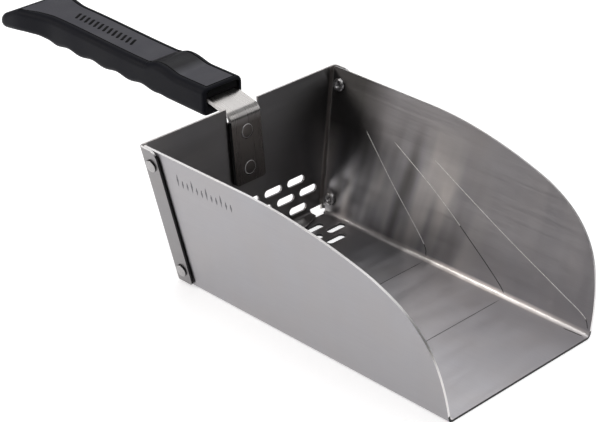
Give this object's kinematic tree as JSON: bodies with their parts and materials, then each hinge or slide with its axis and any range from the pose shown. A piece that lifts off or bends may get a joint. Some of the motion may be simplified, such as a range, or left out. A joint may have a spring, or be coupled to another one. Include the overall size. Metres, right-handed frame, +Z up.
{
  "type": "hand sand scoop",
  "caption": "Hand scoop of bent stainless sheet with flared curved sides, a slotted rear wall and floor, and a flat bar handle with a black finger grip.",
  "frame": {"origin": "middle of the underside of the pan's floor", "axes": "+Z up, the open mouth faces -Y, the handle runs towards +Y, +X to the right seen from the mouth's side looking along +Y"},
  "size_m": [0.1338, 0.357, 0.0864],
  "materials": {
    "pan_steel": "fine brushed stainless",
    "panel_steel": "fine brushed stainless",
    "bar_steel": "cross-brushed stainless",
    "rivet_steel": "smooth satin stainless",
    "grip_rubber": "fine matte moulded texture",
    "core_plastic": "plain moulded"
  },
  "bodies": {
    "root": {"scoop_pan": "pan_steel", "back_panel": "panel_steel", "handle_strap": "bar_steel", "grip_cover": "grip_rubber", "grip_core": "core_plastic", "side_rivet_left_upper": "rivet_steel", "side_rivet_left_lower": "rivet_steel", "side_rivet_right_upper": "rivet_steel", "side_rivet_right_lower": "rivet_steel", "strap_rivet_upper": "rivet_steel", "strap_rivet_lower": "rivet_steel"}
  },
  "joints": []
}
